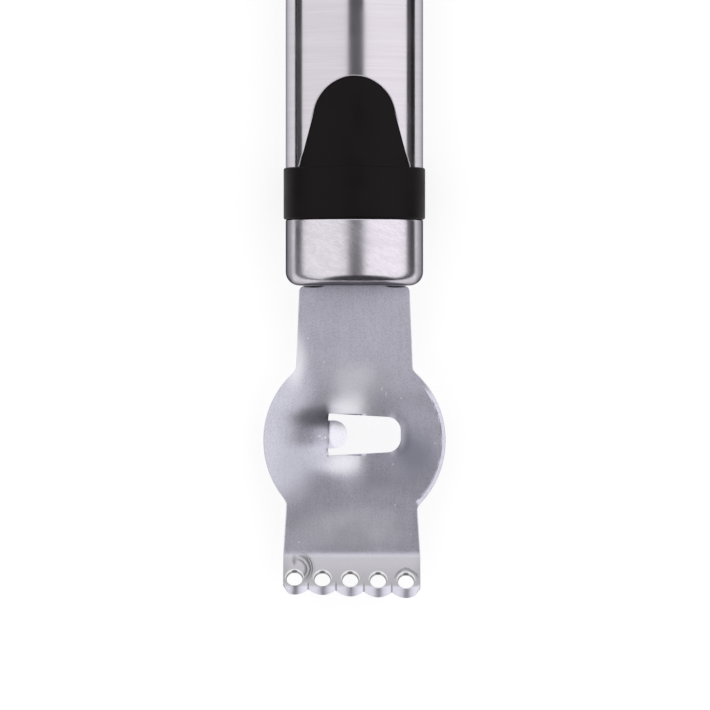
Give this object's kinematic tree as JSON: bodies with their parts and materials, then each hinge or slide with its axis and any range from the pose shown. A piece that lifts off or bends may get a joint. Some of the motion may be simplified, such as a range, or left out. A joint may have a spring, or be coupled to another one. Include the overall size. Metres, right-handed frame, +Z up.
{
  "type": "citrus zester",
  "caption": "Hand citrus zester: stamped steel blade with a bent, scalloped row of zest holes and a channel cutter, in an oval steel tube handle with a black collar.",
  "frame": {"origin": "on the surface that the tool lies on, under the middle of its length and width", "axes": "+X across the tool to the right, +Y along it towards the hanging end, +Z up out of its front"},
  "size_m": [0.0266, 0.19, 0.014],
  "materials": {
    "blade_steel": "satin stamped stainless steel",
    "handle_steel": "fine brushed stainless steel",
    "collar_black": "satin black moulded plastic",
    "insert_plastic": "dull dark moulded plastic"
  },
  "bodies": {
    "root": {"blade": "blade_steel", "ferrule": "handle_steel", "collar": "collar_black", "tang_insert": "insert_plastic", "handle_tube": "handle_steel", "end_cap": "handle_steel"}
  },
  "joints": []
}
